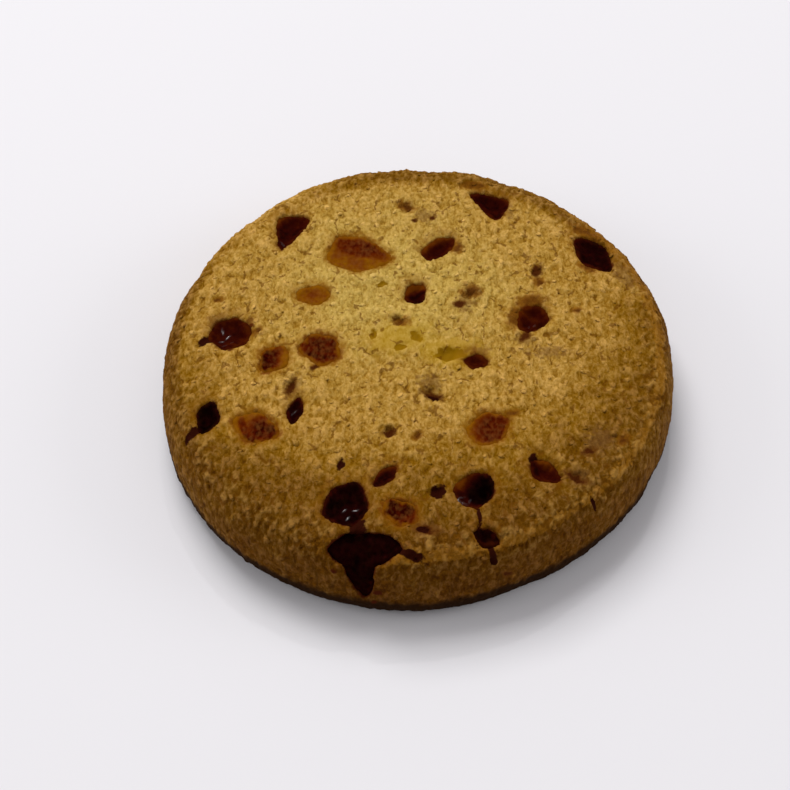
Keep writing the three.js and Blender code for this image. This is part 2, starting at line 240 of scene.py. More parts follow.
# Marks in the crust between the lumps: middle, length, width and which way the length points
MARKS = {
    "speck": [
        (5.1, 6.5, 1.5, 1.2, 20),
        (15.0, 12.2, 2.0, 1.3, 60),
        (-0.4, 20.5, 0.8, 0.7, 0),
        (1.9, 20.9, 1.0, 0.7, 60),
        (-15.6, -6.2, 2.8, 0.9, 70),
        (-12.6, -3.0, 1.8, 0.8, 50),
        (13.1, 1.6, 2.0, 1.0, 60),
        (1.5, -7.5, 2.7, 1.5, -25),
        (-3.6, -13.0, 1.5, 1.3, 0),
        (18.2, -19.3, 2.8, 1.1, -30),
        (20.0, -15.6, 1.8, 1.0, 30),
        (0.6, -26.6, 2.8, 1.2, -15),
    ],
    "pit": [
        (-9.3, -17.6, 1.4, 0.8, 80),
        (13.3, -16.9, 1.8, 1.1, 90),
        (2.1, -21.5, 1.7, 1.5, 45),
        (0.2, -26.5, 1.4, 0.7, -15),
        (-7.2, -26.9, 3.4, 1.8, 85),
        (6.8, -26.6, 1.4, 0.7, -70),
        (1.7, -7.9, 1.4, 0.8, -25),
        (-1.2, -29.6, 3.5, 0.9, -20),
        (-9.6, -28.8, 1.7, 1.2, 15),
        (-26.0, 1.2, 3.0, 1.0, 42),
        # cracks and a crevice, their shade painted as near-black pits
        (6.8, -24.8, 2.2, 0.45, -80),
        (8.4, -29.3, 4.0, 0.65, -65),
        (20.2, -22.0, 1.1, 0.45, -50),
        (-26.9, -12.8, 2.6, 1.0, 38),
    ],
    "soaked": [
        (-20.0, 2.4, 1.8, 1.0, 20),
        (-25.0, 7.4, 1.2, 0.8, 20),
        (-2.3, 3.8, 2.3, 1.3, -20),
        (6.7, 8.7, 2.4, 1.7, -15),
        (5.0, 15.9, 2.0, 1.7, 90),
        (14.1, 7.2, 3.2, 2.2, 0),
        (11.9, 4.6, 3.4, 1.8, 80),
        (21.4, 12.6, 2.4, 1.0, -30),
        (24.2, -13.9, 1.7, 1.2, 60),
        (-1.5, 23.2, 2.2, 1.4, -20),
        (-0.3, -13.6, 1.4, 1.1, 60),
        (19.6, 5.5, 1.3, 0.9, 10),
        (11.0, -10.3, 1.8, 0.9, 10),
        (15.2, 10.4, 1.6, 1.4, 90),
        (7.3, 26.6, 3.6, 1.2, 0),
        (21.5, 18.8, 4.0, 1.4, -20),
    ],
    "greyed": [
        (11.7, 22.8, 4.2, 1.5, 95),
        (0.9, 21.4, 3.0, 2.4, -30),
        (5.9, 6.9, 3.4, 2.8, 60),
        (25.8, 11.6, 6.0, 2.4, -55),
        (15.7, -0.9, 5.0, 2.0, 0),
        (13.0, 1.0, 2.4, 2.2, 0),
        (7.6, -0.6, 2.6, 1.2, 0),
        (1.3, -5.4, 3.2, 2.4, 0),
        (18.6, -19.4, 3.6, 2.4, -20),
        (21.4, -13.9, 4.2, 3.4, 20),
        (-15.3, -5.9, 3.6, 2.4, 80),
        (-4.1, -19.0, 3.6, 2.8, 45),
        (0.6, -26.4, 3.0, 2.2, -15),
        (-25.2, 4.4, 2.6, 1.2, 30),
    ],
    "dip": [
        (3.7, -1.2, 3.5, 1.8, 5),
        (-5.6, 1.8, 1.5, 0.9, 80),
        (-0.4, 1.4, 1.6, 1.2, -60),
        (-2.2, -0.2, 1.8, 1.0, 20),
        (-4.7, 9.7, 1.6, 0.9, 0),
    ],
    "butter": [
        (-2.4, 1.4, 9.0, 5.0, 10),
        (4.0, -0.9, 8.5, 4.4, -5),
    ],
}
MARK_DEPTHS = {"speck": 0.1, "pit": 0.15, "soaked": 0.1, "dip": 0.3}
MARK_SPAN = (0.3, 0.7)  # of nearness to the middle of a mark
SIDE_SPECKS = [((10.2, -29.8, 6.0), 1.3), ((-31.2, -3.7, 6.0), 1.4)]  # middle and width

# Colours of the crust, from the palest spot of the face to the foot of the side; the browner end also stands
# for painted shade on the side nearest the viewer
CRUST_BROWNING_AND_SHADE = (
    (0.0, "#bb9a4b"),
    (0.24, "#ae873b"),
    (0.46, "#a87f35"),
    (0.6, "#8d651e"),
    (0.7, "#785214"),
    (0.87, "#623e0b"),
    (1.0, "#553103"),
)

# Colours of the syrup, from a thin film to its full depth
DARK_SYRUP = ((0.0, "#5e2c03"), (0.25, "#451702"), (0.5, "#310803"), (0.75, "#1a0303"), (1.0, "#080101"))
AMBER_SYRUP = ((0.0, "#7c4c04"), (0.3, "#693405"), (0.6, "#561d02"), (0.8, "#451002"), (1.0, "#270401"))
SOAKED_CRUMB = "#825206"  # crust with thin syrup in it
STUCK_CRUMB = "#7d4a20"  # crumb that stuck in the syrup

# What colours the crust, stains and painted light and shade alike: the field, where it starts and is full,
# its most, the size and the strength of its patches, and its colour; syrup that soaked in is as dark as the
# pool it came from
CRUST_STAINS_AND_PAINTED_LIGHT = (
    # painted highlight, golden, along the crest of the shoulder
    ("crest", 0.1, 0.9, 0.42, 0.5, 2.6, "#a06a1a"),
    ("butter", 0.25, 0.8, 0.6, 0.9, 1.0, "#9c780e"),
    ("dip", 0.4, 0.55, 0.95, 0.8, 1.0, "#866000"),
    # painted highlight on the crests of the crumb, and painted shade in its hollows
    ("hollow", -0.06, -0.25, 0.3, 0.6, 0.1, "#c79a4c"),
    ("hollow", 0.16, 0.45, 0.6, 0.6, 0.1, "#4c2c08"),
    # painted shade in the splits between crumbs
    ("split", 0.1, 1.0, 0.7, 0.8, 0.3, "#653b02"),
    ("streak", 0.5, 0.75, 0.5, 0.8, 0.1, "#3a2004"),
    # the foot, browned by the tray, with painted shade where it meets the floor
    ("foot", 0.15, 0.9, 0.95, 1.5, 0.7, "#221003"),
    ("greyed", 0.3, 0.85, 0.55, 0.5, 1.5, "#6a4724"),
    ("soaked", 0.15, 0.7, 0.85, 0.8, 1.0, "#7d4c0a"),
    ("soaked", 0.4, 0.9, 0.85, 0.6, 1.0, "#4f2605"),
    ("amber_reach", 1.2, 0.2, 0.55, 0.9, 1.2, SOAKED_CRUMB),
    ("amber_reach", 0.6, 0.2, 0.9, 0.8, 1.2, AMBER_SYRUP),
    ("soak_reach", 1.3, 0.3, 0.45, 0.9, 1.4, "#7c4e0c"),
    ("soak_reach", 0.7, 0.2, 0.7, 0.8, 0.8, DARK_SYRUP),
    ("dark_reach", 0.55, 0.2, 1.0, 0.8, 0.6, DARK_SYRUP),
    ("speck", 0.2, 0.6, 0.9, 0.6, 0.9, "#5f370c"),
    ("speck", 0.5, 0.75, 0.9, 0.6, 0.9, "#431a02"),
    # bits of dark toffee in the crust, and painted shade in cracks and a crevice
    ("pit", 0.34, 0.54, 1.0, 0.6, 0.7, "#2c0a01"),
)

# Where the viewer stands
VIEW_ELEVATION = 53.3  # degrees above the table
VIEW_DISTANCE = 256.0
VIEW_LENS = 91.9
VIEW_SENSOR = 36.0
VIEW_OFFSET = (-2.95, 0.57)  # where the picture's middle lies, to the right of and above the base's middle


def linear(hex_colour):
    """An sRGB hex colour as the linear colour that shaders work in."""
    parts = [int(hex_colour[i : i + 2], 16) / 255 for i in (1, 3, 5)]
    return (*(c / 12.92 if c <= 0.04045 else ((c + 0.055) / 1.055) ** 2.4 for c in parts), 1.0)


def node(tree, kind, sockets, **settings):
    """Adds a node: settings are its properties, sockets its inputs, each a value or an output to link.
    Returns its outputs."""
    made = tree.nodes.new(kind)
    for name, value in settings.items():
        setattr(made, name, value)
    for key, value in sockets.items():
        if isinstance(value, bpy.types.NodeSocket):
            tree.links.new(value, made.inputs[key])
        else:
            made.inputs[key].default_value = value
    return made.outputs


def start_tree(name, sizes):
    """A new Geometry Nodes tree whose inputs are a geometry, a material and the named sizes."""
    tree = bpy.data.node_groups.new(name, "GeometryNodeTree")
    tree.interface.new_socket("Geometry", in_out="OUTPUT", socket_type="NodeSocketGeometry")
    tree.interface.new_socket("Geometry", in_out="INPUT", socket_type="NodeSocketGeometry")
    tree.interface.new_socket("Material", in_out="INPUT", socket_type="NodeSocketMaterial")
    for size in sizes:
        tree.interface.new_socket(size, in_out="INPUT", socket_type="NodeSocketFloat")
    return tree, node(tree, "NodeGroupInput", {})


def end_tree(tree, geometry, material):
    """Closes a tree: what it strewed becomes mesh and takes the material."""
    real = node(tree, "GeometryNodeRealizeInstances", {"Geometry": geometry})[0]
    finished = node(tree, "GeometryNodeSetMaterial", {"Geometry": real, "Material": material})[0]
    node(tree, "NodeGroupOutput", {"Geometry": finished})


def new_piece(name, mesh):
    """An object in the scene, at the origin."""
    piece = bpy.data.objects.new(name, mesh)
    bpy.context.scene.collection.objects.link(piece)
    return piece


def baked_down(piece):
    """Turns what a piece's modifiers give into its plain mesh."""
    graph = bpy.context.evaluated_depsgraph_get()
    mesh = bpy.data.meshes.new_from_object(piece.evaluated_get(graph))
    piece.modifiers.clear()
    piece.data = mesh
    return piece


def shaped(piece, tree, sizes, material):
    """Runs a tree on a piece, with its sizes in millimetres, and keeps the result as a plain mesh."""
    shaper = piece.modifiers.new(tree.name, "NODES")
    shaper.node_group = tree
    values = {name: size * MM for name, size in sizes.items()}
    values["Material"] = material
    for item in tree.interface.items_tree:
        if item.in_out == "INPUT" and item.name in values:
            shaper[item.identifier] = values[item.name]
    baked_down(piece)
    piece.data.shade_smooth()
    return piece


def even_copy(name, cad_node, grid, softening):
    """A copy of a solid as one closed mesh of even, fine squares with softened edges."""
    mesh = frame["nodes"][cad_node].data.copy()
    loose = bmesh.new()
    loose.from_mesh(mesh)
    bmesh.ops.remove_doubles(loose, verts=loose.verts, dist=WELD * MM)
    loose.to_mesh(mesh)
    loose.free()
    mesh.materials.clear()
    piece = new_piece(name, mesh)
    remesh = piece.modifiers.new("even", "REMESH")
    remesh.mode = "VOXEL"
    remesh.voxel_size = grid * MM
    soften = piece.modifiers.new("soften", "SMOOTH")
    soften.factor = 0.5
    soften.iterations = softening
    return piece


def points_of(mesh):
    """A mesh's points as rows of x, y and z, in millimetres."""
    flat = np.zeros(len(mesh.vertices) * 3, np.float32)
    mesh.vertices.foreach_get("co", flat)
    return flat.reshape(-1, 3) / MM


def place_points(mesh, points):
    """Moves a mesh's points to new places, in millimetres."""
    mesh.vertices.foreach_set("co", (points * MM).astype(np.float32).ravel())
    mesh.update()


def store(mesh, name, values):
    """Keeps a value for each point of a mesh, for trees and materials to read."""
    mesh.attributes.new(name, "FLOAT", "POINT").data.foreach_set("value", values.astype(np.float32))


def eased(values, start, end):
    """0 at start and 1 at end, with a soft turn at both."""
    share = np.clip((values - start) / (end - start), 0.0, 1.0)
    return share * share * (3.0 - 2.0 * share)


def fading(distances, width):
    """1 at no distance, falling to almost 0 at two widths."""
    return np.exp(-np.square(distances / width))


def nearest(targets, points):
    """How far each point is from the nearest of the targets."""
    tree = KDTree(len(targets))
    for i, target in enumerate(targets):
        tree.insert(target, i)
    tree.balance()
    return np.array([tree.find(point)[2] for point in points])


def nearness(points, marks):
    """1 in the middle of a mark, a half at its edge and 0 well away from all marks, seen from above."""
    near = np.zeros(len(points))
    for x, y, length, width, turn in marks:
        along = math.radians(turn)
        right, up = points[:, 0] - x, points[:, 1] - y
        lengthwise = (right * math.cos(along) + up * math.sin(along)) / length
        crosswise = (up * math.cos(along) - right * math.sin(along)) / width
        near = np.maximum(near, 1.0 - np.hypot(lengthwise, crosswise))
    return near


def browning_and_shade_of(points):
    """How brown the crust is, baked browner at the rim, with painted shade that darkens it towards the side
    nearest the viewer and a painted highlight at the far left rim: 0 at the palest spot of the face, 1 at
    the side nearest the viewer.
    """
    x, y = points[:, 0], points[:, 1]
    spread, start, end = PALE_SPREAD
    from_pale = np.hypot(spread * (x - PALE_SPOT[0]), y - PALE_SPOT[1])
    most, inner, outer = RIM_BROWN
    wider, less, less_left = FAR_RIM
    far = eased(y, *FAR_SIDE)
    rim = most * eased(np.hypot(x, y) + wider * far, inner, outer)
    rim *= 1.0 - (less + less_left * eased(x, *FAR_LEFT)) * far
    return np.maximum((from_pale - start) / (end - start), rim)


def crest_of(points):
    """How much painted golden highlight the crest of the shoulder takes: only on the side nearest the viewer
    and on the right.
    """
    inner, outer, low, high = CREST
    x, y = points[:, 0], points[:, 1]
    ring = eased(np.hypot(x, y), inner, outer) * eased(points[:, 2], low, high)
    near = eased(y, *CREST_NEAR) * eased(x, *CREST_NEAR_LEFT)
    return ring * np.maximum(near, eased(x, *CREST_RIGHT))


def foot_of(points):
    """How dark the foot of the side is: browned by the hot tray, and painted shade where it turns under to
    the floor; fainter at the far side.
    """
    high, low, inner, outer = FOOT
    fade, near, far = FOOT_FADE
    ring = eased(np.hypot(points[:, 0], points[:, 1]), inner, outer)
    foot = eased(points[:, 2], high, low) * ring
    return foot * (1.0 - fade * eased(points[:, 1], near, far))


def normals_of(mesh):
    """The directions in which a mesh's points face."""
    flat = np.zeros(len(mesh.vertices) * 3, np.float32)
    mesh.vertex_normals.foreach_get("vector", flat)
    return flat.reshape(-1, 3)


def inset_of(mesh):
    """How far each point of a lump lies inside the lump's walls, seen from above."""
    flat = points_of(mesh) * np.array((1.0, 1.0, 0.0))
    return nearest(flat[np.abs(normals_of(mesh)[:, 2]) < WALL_SLOPE], flat)


def family_of_lumps():
    """Each toffee lump's family, dark or amber."""
    subparts = frame["record"]["subparts"]
    return {part["node"]: part["material_slot"] for part in subparts if part["material_slot"] in MELT}


def syrup_depth(points):
    """How deep the syrup is, from 0 in a thin film to 1 in the deepest pool."""
    depth = np.zeros(len(points))
    for *pool, deepest in POOLS:
        depth = np.maximum(depth, deepest * eased(nearness(points, [pool]), *POOL_SPAN))
    return depth


def soaked_walls(points, lumps):
    """Those of the crust's points that some lumps cover, in the pockets the lumps melted into."""
    melted = bmesh.new()
    for lump in lumps:
        melted.from_mesh(lump.data)
    surface = BVHTree.FromBMesh(melted)
    melted.free()
    covered = []
    for point in points:
        place = Vector(point) * MM
        spot, outward, _, _ = surface.find_nearest(place, WALL_REACH * MM)
        covered.append(spot is not None and (place - spot).dot(outward) < 0.0)
    return points[covered]


def hollow_of(mesh):
    """How far each point lies under the level of the crust around it; less than 0 on a crest."""
    points = points_of(mesh)
    edges = np.zeros(len(mesh.edges) * 2, np.int32)
    mesh.edges.foreach_get("vertices", edges)
    one, other = edges.reshape(-1, 2).T
    count = len(points)
    neighbours = np.bincount(one, minlength=count) + np.bincount(other, minlength=count)
    level = points.copy()
    for _ in range(HOLLOW_ROUNDS):
        for axis in range(3):
            total = np.bincount(one, level[other, axis], count) + np.bincount(other, level[one, axis], count)
            level[:, axis] = total / neighbours
    return np.sum((level - points) * normals_of(mesh), axis=1)


def clear_base(mesh):
    """Replaces the fine squares in the middle of the flat base by a few large faces."""
    form = bmesh.new()
    form.from_mesh(mesh)
    flat = [
        face
        for face in form.faces
        if face.normal.z < BASE_FACING and face.calc_center_median().xy.length < BASE_CLEAR * MM
    ]
    bmesh.ops.dissolve_faces(form, faces=flat, use_verts=True)
    bmesh.ops.triangulate(form, faces=[face for face in form.faces if len(face.verts) > 4])
    form.to_mesh(mesh)
    form.free()


def clumps(tree, place):
    """The crumb that the crust is made of: 1 on top of a clump, 0 deep between clumps."""
    drawn = node(tree, "ShaderNodeVectorMath", {0: place, 1: CLUMP_STRETCH}, operation="MULTIPLY")[0]
    return node(
        tree,
        "ShaderNodeTexNoise",
        {
            "Vector": drawn,
            "Scale": 1 / (CLUMP_SIZE * MM),
            "Detail": 5.0,
            "Roughness": 0.65,
            "Distortion": 0.4,
        },
    )[0]


def splits(tree, place, width):
    """Short splits between crumbs, widest where crumbs meet: 0 on whole crust, 1 inside a split."""
    stir = node(
        tree, "ShaderNodeTexNoise", {"Vector": place, "Scale": 1 / (SPLIT_STIR * MM), "Detail": 2.0}
    )["Color"]
    stirred = node(
        tree,
        "ShaderNodeVectorMath",
        {0: stir, 1: (SPLIT_STIR * MM,) * 3, 2: place},
        operation="MULTIPLY_ADD",
    )[0]
    drawn = node(tree, "ShaderNodeVectorMath", {0: stirred, 1: CRUMB_STRETCH}, operation="MULTIPLY")[0]
    crumbs = {}
    for feature in ("F1", "DISTANCE_TO_EDGE"):
        crumbs[feature] = node(
            tree, "ShaderNodeTexVoronoi", {"Vector": drawn, "Scale": 1 / (CRUMB_SIZE * MM)}, feature=feature
        )["Distance"]
    half = width / 2 / CRUMB_SIZE
    gape = node(
        tree,
        "ShaderNodeMapRange",
        {
            "Value": crumbs["F1"],
            "From Min": SPLIT_MEETING[0],
            "From Max": SPLIT_MEETING[1],
            "To Min": SPLIT_GAPE[0] * half,
            "To Max": SPLIT_GAPE[1] * half,
        },
    )[0]
    line = node(
        tree,
        "ShaderNodeMapRange",
        {"Value": crumbs["DISTANCE_TO_EDGE"], "From Min": gape, "From Max": 0.0},
        interpolation_type="SMOOTHSTEP",
    )[0]
    patches = node(
        tree, "ShaderNodeTexNoise", {"Vector": place, "Scale": 1 / (SPLIT_PATCH * MM), "Detail": 1.0}
    )[0]
    closed, wide = SPLIT_OPENING
    opened = node(
        tree,
        "ShaderNodeMapRange",
        {"Value": patches, "From Min": closed, "From Max": wide},
        interpolation_type="SMOOTHSTEP",
    )[0]
    return node(tree, "ShaderNodeMath", {0: line, 1: opened}, operation="MULTIPLY")[0]


def crumb_height(tree, place, given):
    """How far the crust stands out: clumps, splits between crumbs, lumps, and streaks down the side."""
    shares = {}
    for name in ("crumbly", "side"):
        shares[name] = node(tree, "GeometryNodeInputNamedAttribute", {"Name": name}, data_type="FLOAT")[0]
    split = splits(tree, place, SPLIT_WIDTHS[1])
    opened = node(tree, "ShaderNodeMath", {0: split, 1: given["Split Depth"]}, operation="MULTIPLY")[0]
    high = node(tree, "ShaderNodeMath", {0: clumps(tree, place), 1: NOISE_MIDDLE}, operation="SUBTRACT")[0]
    raised = node(tree, "ShaderNodeMath", {0: high, 1: given["Clump Height"]}, operation="MULTIPLY")[0]
    height = node(tree, "ShaderNodeMath", {0: raised, 1: opened}, operation="SUBTRACT")[0]
    height = node(tree, "ShaderNodeMath", {0: height, 1: shares["crumbly"]}, operation="MULTIPLY")[0]
    lowest, highest = WAVE_SPAN
    layers = (
        ("Lump Size", "Lump Height", (1.0, 1.0, 1.0), "crumbly"),
        ("Streak Size", "Streak Depth", STREAK_STRETCH, "side"),
    )
    for size, swing, stretch, share in layers:
        drawn = node(tree, "ShaderNodeVectorMath", {0: place, 1: stretch}, operation="MULTIPLY")[0]
        pace = node(tree, "ShaderNodeMath", {0: 1.0, 1: given[size]}, operation="DIVIDE")[0]
        waves = node(tree, "ShaderNodeTexNoise", {"Vector": drawn, "Scale": pace, "Detail": 2.0})[0]
        wave = node(
            tree,
            "ShaderNodeMapRange",
            {"Value": waves, "From Min": lowest, "From Max": highest, "To Min": -1.0, "To Max": 1.0},
        )[0]
        raised = node(tree, "ShaderNodeMath", {0: wave, 1: given[swing]}, operation="MULTIPLY")[0]
        height = node(
            tree, "ShaderNodeMath", {0: raised, 1: shares[share], 2: height}, operation="MULTIPLY_ADD"
        )[0]
    return height


def crumb_relief():
    """The tree that roughens the crust, leaves its base flat, and notes where each point was."""
    tree, given = start_tree("crumb_relief", RELIEF)
    place = node(tree, "GeometryNodeInputPosition", {})[0]
    height = crumb_height(tree, place, given)
    above = node(tree, "ShaderNodeSeparateXYZ", {0: place})["Z"]
    off_base = node(
        tree,
        "ShaderNodeMapRange",
        {"Value": above, "From Min": given["Flat Base"], "From Max": given["Base Clearance"]},
    )[0]
    height = node(tree, "ShaderNodeMath", {0: height, 1: off_base}, operation="MULTIPLY")[0]
    outward = node(tree, "GeometryNodeInputNormal", {})[0]
    push = node(tree, "ShaderNodeVectorMath", {0: outward, "Scale": height}, operation="SCALE")[0]
    kept = node(
        tree,
        "GeometryNodeStoreNamedAttribute",
        {"Geometry": given["Geometry"], "Name": "crust_place", "Value": place},
        data_type="FLOAT_VECTOR",
    )[0]
    moved = node(tree, "GeometryNodeSetPosition", {"Geometry": kept, "Offset": push})[0]
    end_tree(tree, moved, given["Material"])
    return tree


def lump_reach(fields):
    """How far the crust's points are from the nearest lump of either family."""
    return np.minimum(fields["dark_reach"], fields["amber_reach"])


def crust_fields(points, lumps):
    """What lies on the crust, soaked into it and browned it, at each of its points."""
    on_face = points[:, 2] > FACE_FROM
    fields = {name: nearness(points, marks) * on_face for name, marks in MARKS.items()}
    for middle, width in SIDE_SPECKS:
        near = 1.0 - np.linalg.norm(points - np.array(middle), axis=1) / width
        fields["speck"] = np.maximum(fields["speck"], near)
    soakers = [lump for lump in lumps["toffee_dark"] if lump.name != SHOULDER_LUMP]
    fields["amber_reach"] = nearest(soaked_walls(points, lumps["toffee_amber"]), points)
    fields["dark_reach"] = nearest(soaked_walls(points, lumps["toffee_dark"]), points)
    fields["soak_reach"] = nearest(soaked_walls(points, soakers), points + np.array(SOAK_SHIFT))
    fields["depth"] = WALL_DEPTH * syrup_depth(points)
    fields["browning_and_shade"] = browning_and_shade_of(points)
    fields["crest"] = crest_of(points)
    fields["foot"] = foot_of(points)
    return fields


def slumped(points, facing, fields):
    """The crust's points, where it dipped to the lumps, closed over their edges and sank under the marks."""
    points = points.copy()
    on_face = points[:, 2] > FACE_FROM
    for reach, (depth, width) in FUNNELS.items():
        points[:, 2] -= depth * fading(fields[reach], width) * on_face
    closing, width = POCKET_CLOSING
    closed = closing * fading(lump_reach(fields), width) * eased(points[:, 2], *CLOSING_SPAN)
    points[:, :2] += closed[:, None] * facing[:, :2]
    for name, depth in MARK_DEPTHS.items():
        points[:, 2] -= depth * eased(fields[name], *MARK_SPAN) * on_face
    return points


def crumb_fields(points, fields):
    """Where the crust belongs to the side, how crumbly it is, and how many grains stand out of it."""
    side = eased(points[:, 2], *SIDE_TOP)
    calm, width = RIM_CALM
    crumbly = (1.0 - BUTTER_CALM * eased(fields["butter"], *BUTTER_SPAN)) * (1.0 - SIDE_CALM * side)
    crumbly *= 1.0 - calm * fading(lump_reach(fields), width)
    strewn = points[:, 2] > GRAINS_FROM
    for reach, clear in GRAINS_CLEAR.items():
        strewn = strewn & (fields[reach] > clear)
    for mark, bare in GRAINS_BARE.items():
        strewn = strewn & (fields[mark] < bare)
    return {"side": side, "crumbly": crumbly, "grainy": crumbly * (1.0 - SIDE_BARE * side) * strewn}


def make_dough(material, lumps):
    """The baked dough, with pockets where the lumps are."""
    dough = baked_down(even_copy("sandy_dough", "dough", DOUGH_GRID, DOUGH_SOFTENING))
    clear_base(dough.data)
    points = points_of(dough.data)
    fields = crust_fields(points, lumps)
    points = slumped(points, normals_of(dough.data), fields)
    place_points(dough.data, points)
    fields |= crumb_fields(points, fields)
    for name, values in fields.items():
        store(dough.data, name, values)
    shaped(dough, crumb_relief(), RELIEF, material)
    store(dough.data, "hollow", hollow_of(dough.data) * eased(lump_reach(fields), *HOLLOW_SPAN))
    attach(dough, "root")
    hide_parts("dough")
    return dough


def strewn_grains(tree, given):
    """Grains on the crust, each flattened, turned at random, half sunk, and paler than the crust."""
    share = node(tree, "GeometryNodeInputNamedAttribute", {"Name": "grainy"}, data_type="FLOAT")[0]
    strewn = node(
        tree,
        "GeometryNodeDistributePointsOnFaces",
        {
            "Mesh": given["Geometry"],
            "Distance Min": given["Spacing"],
            "Density Max": GRAIN_DENSITY / MM**2,
            "Density Factor": share,
            "Seed": GRAIN_SEED,
        },
        distribute_method="POISSON",
    )
    depth = node(tree, "ShaderNodeMath", {0: given["Sink"], 1: -1.0}, operation="MULTIPLY")[0]
    inward = node(tree, "ShaderNodeVectorMath", {0: strewn["Normal"], "Scale": depth}, operation="SCALE")[0]
    sunk = node(tree, "GeometryNodeSetPosition", {"Geometry": strewn["Points"], "Offset": inward})[0]
    shade = node(
        tree,
        "FunctionNodeRandomValue",
        {2: GRAIN_PALENESS[0], 3: GRAIN_PALENESS[1], "Seed": GRAIN_SEED + 1},
        data_type="FLOAT",
    )[1]
    shaded = node(
        tree,
        "GeometryNodeStoreNamedAttribute",
        {"Geometry": sunk, "Name": "grain", "Value": shade},
        data_type="FLOAT",
    )[0]
    spin = node(
        tree,
        "FunctionNodeRandomValue",
        {0: (0.0, 0.0, 0.0), 1: (GRAIN_TIP, GRAIN_TIP, math.tau), "Seed": GRAIN_SEED + 2},
        data_type="FLOAT_VECTOR",
    )[0]
    turned = node(
        tree,
        "FunctionNodeRotateRotation",
        {"Rotation": strewn["Rotation"], "Rotate By": spin},
        rotation_space="LOCAL",
    )[0]
    form = node(
        tree,
        "FunctionNodeRandomValue",
        {0: GRAIN_FORMS[0], 1: GRAIN_FORMS[1], "Seed": GRAIN_SEED + 3},
        data_type="FLOAT_VECTOR",
    )[0]
    size = node(tree, "ShaderNodeVectorMath", {0: form, "Scale": given["Grain Size"]}, operation="SCALE")[0]
    ball = node(tree, "GeometryNodeMeshIcoSphere", {"Radius": 0.5, "Subdivisions": 2})["Mesh"]
    return node(
        tree,
        "GeometryNodeInstanceOnPoints",
        {"Points": shaded, "Instance": ball, "Rotation": turned, "Scale": size},
    )[0]


def grain_scatter():
    """The tree that strews grains over the crust and dents them."""
    tree, given = start_tree("grain_scatter", GRAINS)
    grains = strewn_grains(tree, given)
    real = node(tree, "GeometryNodeRealizeInstances", {"Geometry": grains})[0]
    place = node(tree, "GeometryNodeInputPosition", {})[0]
    marked = node(
        tree,
        "GeometryNodeStoreNamedAttribute",
        {"Geometry": real, "Name": "crust_place", "Value": place},
        data_type="FLOAT_VECTOR",
    )[0]
    crags = node(tree, "ShaderNodeTexNoise", {"Vector": place, "Scale": 1 / (GRAIN_CRAGS * MM)})["Color"]
    crag = node(tree, "ShaderNodeVectorMath", {0: crags, 1: (NOISE_MIDDLE,) * 3}, operation="SUBTRACT")[0]
    push = node(
        tree, "ShaderNodeVectorMath", {0: crag, "Scale": given["Grain Roughness"]}, operation="SCALE"
    )[0]
    rough = node(tree, "GeometryNodeSetPosition", {"Geometry": marked, "Offset": push})[0]
    end_tree(tree, rough, given["Material"])
    return tree


def make_grains(dough, material):
    """The loose grains in the crust, of the same dough."""
    grains = new_piece("sandy_grains", dough.data.copy())
    shaped(grains, grain_scatter(), GRAINS, material)
    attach(grains, "root")


def burst_bubble(tree, place, given):
    """How deep the hole is that a burst bubble left, at each place on a lump."""
    here = node(tree, "ShaderNodeVectorMath", {0: place, 1: (1.0, 1.0, 0.0)}, operation="MULTIPLY")[0]
    middle = node(tree, "ShaderNodeCombineXYZ", {"X": given["Bubble X"], "Y": given["Bubble Y"]})[0]
    away = node(tree, "ShaderNodeVectorMath", {0: here, 1: middle}, operation="DISTANCE")["Value"]
    edge = node(tree, "ShaderNodeMath", {0: given["Bubble Width"], 1: 2.0}, operation="DIVIDE")[0]
    deepest = node(
        tree, "ShaderNodeMath", {0: given["Bubble Width"], 1: BUBBLE_DEPTH}, operation="MULTIPLY"
    )[0]
    return node(
        tree,
        "ShaderNodeMapRange",
        {"Value": away, "From Min": edge, "From Max": 0.0, "To Max": deepest},
        interpolation_type="SMOOTHSTEP",
    )[0]


